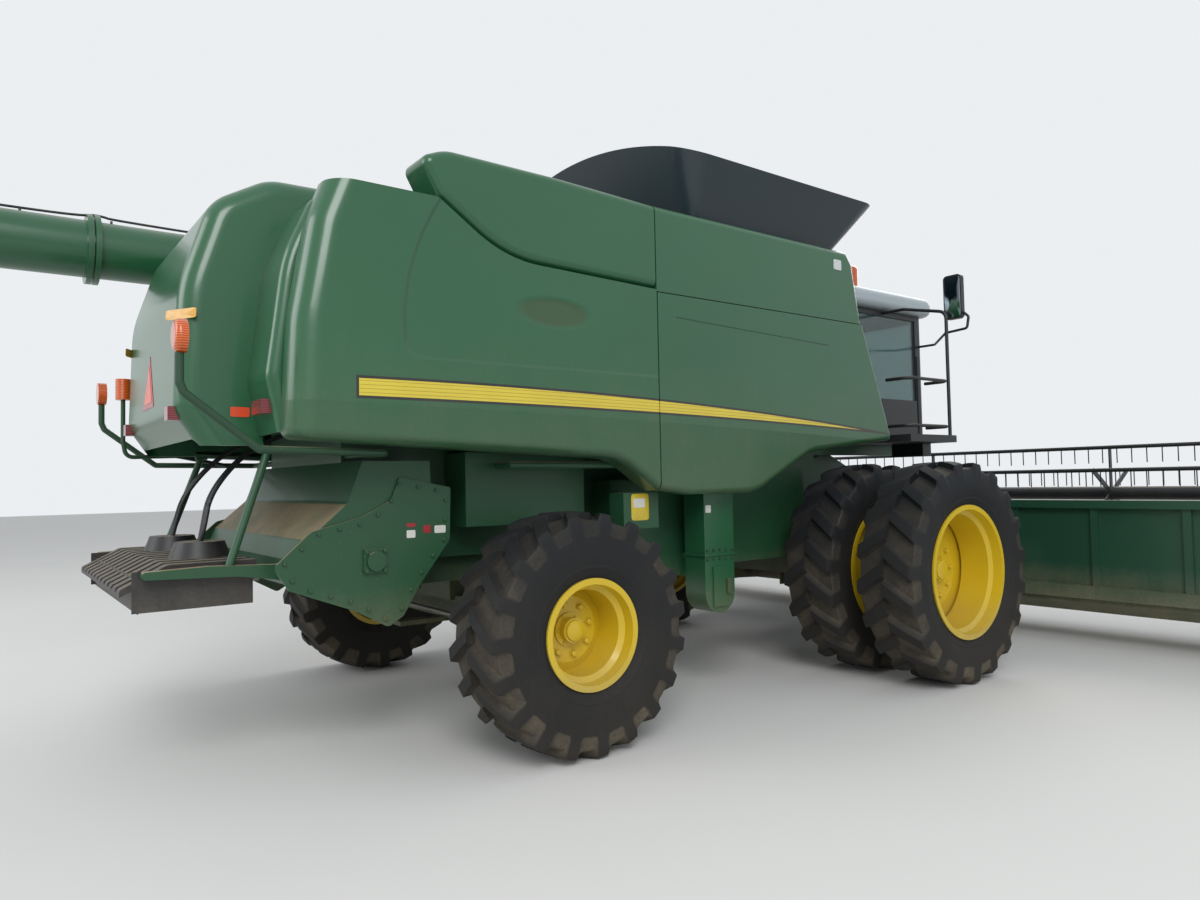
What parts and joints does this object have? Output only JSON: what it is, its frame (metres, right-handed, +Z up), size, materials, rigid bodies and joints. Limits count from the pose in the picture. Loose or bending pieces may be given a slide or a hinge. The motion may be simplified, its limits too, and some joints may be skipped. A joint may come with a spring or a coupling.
{
  "type": "combine harvester",
  "caption": "Rotary combine harvester with dual drive wheels, steered rear wheels, folded unloading auger and a wide grain header.",
  "frame": {"origin": "on the ground under the middle of the whole machine's length and width", "axes": "+X forward to the header, +Y to the machine's left, +Z up"},
  "size_m": [11.4023, 9.14, 4.6539],
  "materials": {
    "green_paint": "glossy, slightly dusty",
    "dark_green_paint": "satin, dusty",
    "yellow_paint": "glossy",
    "tyre_rubber": "matt, dusty",
    "dark_steel": "satin black",
    "bare_steel": "worn bright",
    "chrome_rod": "polished",
    "cast_metal": "rough",
    "window_glass": "tinted",
    "red_lens": "ribbed lens",
    "amber_lens": "ribbed lens",
    "black_plastic": "moulded",
    "seat_fabric": "woven",
    "pale_roof": "moulded"
  },
  "bodies": {
    "chassis": {"frame_rails": "dark_green_paint", "front_axle": "dark_green_paint", "rear_axle": "dark_green_paint", "separator_body": "dark_green_paint", "engine_block": "cast_metal", "rear_hood": "green_paint", "upper_sides": "green_paint", "engine_deck": "dark_steel", "grain_tank": "green_paint", "tank_extension": "dark_green_paint", "auger_turret": "green_paint", "cab_shell": "green_paint", "cab_roof": "pale_roof", "cab_glass": "window_glass", "operator_station": "seat_fabric", "platforms": "dark_steel", "ladder": "dark_steel", "mirrors": "black_plastic", "lamp_arms": "green_paint", "amber_lamps": "amber_lens", "tail_lamps": "red_lens", "grain_elevator": "dark_green_paint", "chopper_housing": "green_paint", "spreader_frame": "green_paint", "spreader_cover": "black_plastic"},
    "front_wheels_right": {"tyres_front_right": "tyre_rubber", "rims_front_right": "yellow_paint"},
    "front_wheels_left": {"tyres_front_left": "tyre_rubber", "rims_front_left": "yellow_paint"},
    "steering_right": {"knuckle_right": "cast_metal"},
    "steering_left": {"knuckle_left": "cast_metal"},
    "steering_rod": {"tie_rod": "bare_steel"},
    "rear_wheel_right": {"tyre_rear_right": "tyre_rubber", "rim_rear_right": "yellow_paint"},
    "rear_wheel_left": {"tyre_rear_left": "tyre_rubber", "rim_rear_left": "yellow_paint"},
    "front_side_door_right": {"shield_front_right": "green_paint"},
    "front_side_door_left": {"shield_front_left": "green_paint"},
    "rear_side_door_right": {"shield_rear_right": "green_paint"},
    "rear_side_door_left": {"shield_rear_left": "green_paint"},
    "entry_door": {"cab_door": "dark_steel", "door_glass": "window_glass"},
    "spreader_right": {"spreader_disc_right": "dark_steel"},
    "spreader_left": {"spreader_disc_left": "dark_steel"},
    "header": {"feeder_house": "green_paint", "header_frame": "green_paint", "knife_bar": "bare_steel"},
    "lift_cylinder_barrels": {"lift_barrels": "dark_steel"},
    "lift_cylinder_rods": {"lift_rods": "chrome_rod"},
    "cross_auger": {"header_auger": "dark_steel"},
    "reel_lift": {"reel_arms": "dark_steel"},
    "reel_rotor": {"reel": "dark_steel"},
    "grain_auger": {"unloading_auger": "green_paint"}
  },
  "joints": [
    {"name": "front_wheels_right_roll", "type": "hinge", "parent": "chassis", "child": "front_wheels_right", "pos_m": [1.549, -1.905, 0.93], "axis": [0, 1, 0], "continuous": true},
    {"name": "steer_right", "type": "hinge", "parent": "chassis", "child": "steering_right", "pos_m": [-1.961, -1.27, 0.777], "axis": [0, 0, 1], "range_deg": [-30, 30]},
    {"name": "rear_wheel_right_roll", "type": "hinge", "parent": "steering_right", "child": "rear_wheel_right", "pos_m": [-1.961, -1.72, 0.777], "axis": [0, 1, 0], "continuous": true},
    {"name": "front_side_door_right_lift", "type": "hinge", "parent": "chassis", "child": "front_side_door_right", "pos_m": [0.149, -1.58, 3.12], "axis": [-1, 0, 0], "range_deg": [0, 75]},
    {"name": "rear_side_door_right_lift", "type": "hinge", "parent": "chassis", "child": "rear_side_door_right", "pos_m": [-3.101, -1.58, 3.495], "axis": [-1, 0, 0], "range_deg": [0, 60]},
    {"name": "spreader_right_spin", "type": "hinge", "parent": "chassis", "child": "spreader_right", "pos_m": [-3.951, -0.45, 1.2], "axis": [0, 0, 1], "continuous": true},
    {"name": "front_wheels_left_roll", "type": "hinge", "parent": "chassis", "child": "front_wheels_left", "pos_m": [1.549, 1.905, 0.93], "axis": [0, 1, 0], "continuous": true},
    {"name": "steer_left", "type": "hinge", "parent": "chassis", "child": "steering_left", "pos_m": [-1.961, 1.27, 0.777], "axis": [0, 0, 1], "range_deg": [-30, 30]},
    {"name": "rear_wheel_left_roll", "type": "hinge", "parent": "steering_left", "child": "rear_wheel_left", "pos_m": [-1.961, 1.72, 0.777], "axis": [0, 1, 0], "continuous": true},
    {"name": "front_side_door_left_lift", "type": "hinge", "parent": "chassis", "child": "front_side_door_left", "pos_m": [0.149, 1.58, 3.12], "axis": [1, 0, 0], "range_deg": [0, 75]},
    {"name": "rear_side_door_left_lift", "type": "hinge", "parent": "chassis", "child": "rear_side_door_left", "pos_m": [-3.101, 1.58, 3.42], "axis": [1, 0, 0], "range_deg": [0, 60]},
    {"name": "spreader_left_spin", "type": "hinge", "parent": "chassis", "child": "spreader_left", "pos_m": [-3.951, 0.45, 1.2], "axis": [0, 0, 1], "continuous": true},
    {"name": "steering_rod_slide", "type": "slide", "parent": "chassis", "child": "steering_rod", "axis": [0, 1, 0], "range_m": [-0.14, 0.14]},
    {"name": "entry_door_swing", "type": "hinge", "parent": "chassis", "child": "entry_door", "pos_m": [2.174, 0.942, 2.8], "axis": [0, 0, 1], "range_deg": [0, 75]},
    {"name": "header_lift", "type": "hinge", "parent": "chassis", "child": "header", "pos_m": [1.849, 0, 1.72], "axis": [0, -1, 0], "range_deg": [-3, 18]},
    {"name": "lift_barrels_tilt", "type": "hinge", "parent": "chassis", "child": "lift_cylinder_barrels", "pos_m": [1.819, 0, 0.68], "axis": [0, -1, 0], "range_deg": [-3, 17]},
    {"name": "lift_rods_slide", "type": "slide", "parent": "lift_cylinder_barrels", "child": "lift_cylinder_rods", "axis": [0.9985, 0, -0.054], "range_m": [-0.06, 0.34]},
    {"name": "cross_auger_spin", "type": "hinge", "parent": "header", "child": "cross_auger", "pos_m": [4.339, 0, 0.72], "axis": [0, 1, 0], "continuous": true},
    {"name": "reel_raise", "type": "hinge", "parent": "header", "child": "reel_lift", "pos_m": [3.929, 0, 1.5], "axis": [0, -1, 0], "range_deg": [-8, 10]},
    {"name": "reel_spin", "type": "hinge", "parent": "reel_lift", "child": "reel_rotor", "pos_m": [5.229, 0, 1.5], "axis": [0, 1, 0], "continuous": true},
    {"name": "grain_auger_swing", "type": "hinge", "parent": "chassis", "child": "grain_auger", "pos_m": [1.099, 1.58, 3.7], "axis": [0, 0, -1], "range_deg": [0, 100]}
  ],
  "couplings": [
    {"joint": "steer_left", "follows": "steer_right", "ratio": 1},
    {"joint": "steering_rod_slide", "follows": "steer_right", "m_per_rad": -0.25},
    {"joint": "lift_barrels_tilt", "follows": "header_lift", "ratio": 0.94},
    {"joint": "lift_rods_slide", "follows": "header_lift", "m_per_rad": 1.03}
  ]
}
